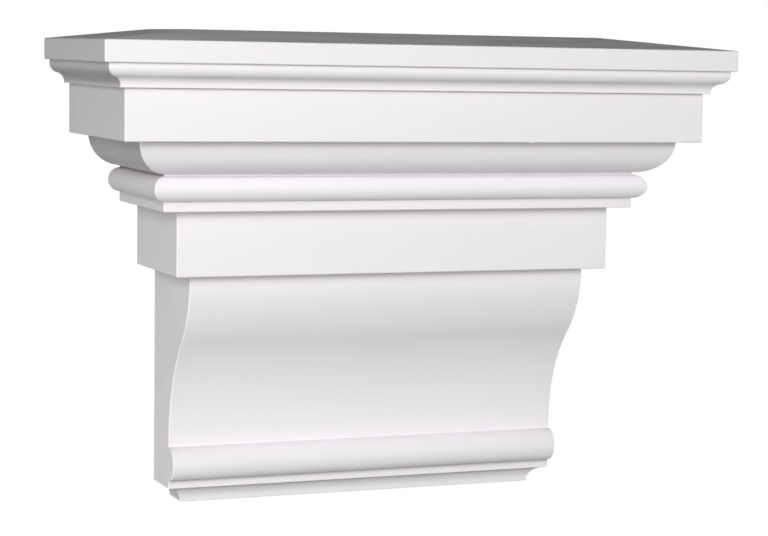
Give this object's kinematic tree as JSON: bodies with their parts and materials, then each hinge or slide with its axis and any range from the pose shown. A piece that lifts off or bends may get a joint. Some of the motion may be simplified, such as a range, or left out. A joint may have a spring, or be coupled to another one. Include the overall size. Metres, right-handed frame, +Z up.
{
  "type": "moulded wall corbel",
  "caption": "Flat-backed wall corbel: a hipped slab, ogee, frieze, quarter round, bead and neck over a console with an S-curved front, ready to paint.",
  "frame": {"origin": "on the flat back face, midway along, level with the slab's upper arris", "axes": "+X along the wall, +Y out of the back face into the wall, so the front faces -Y, +Z up"},
  "size_m": [0.42, 0.154, 0.3087],
  "materials": {
    "primer": "smooth white factory primer over moulded rigid foam, soft sheen"
  },
  "bodies": {
    "root": {"corbel": "primer"}
  },
  "joints": []
}
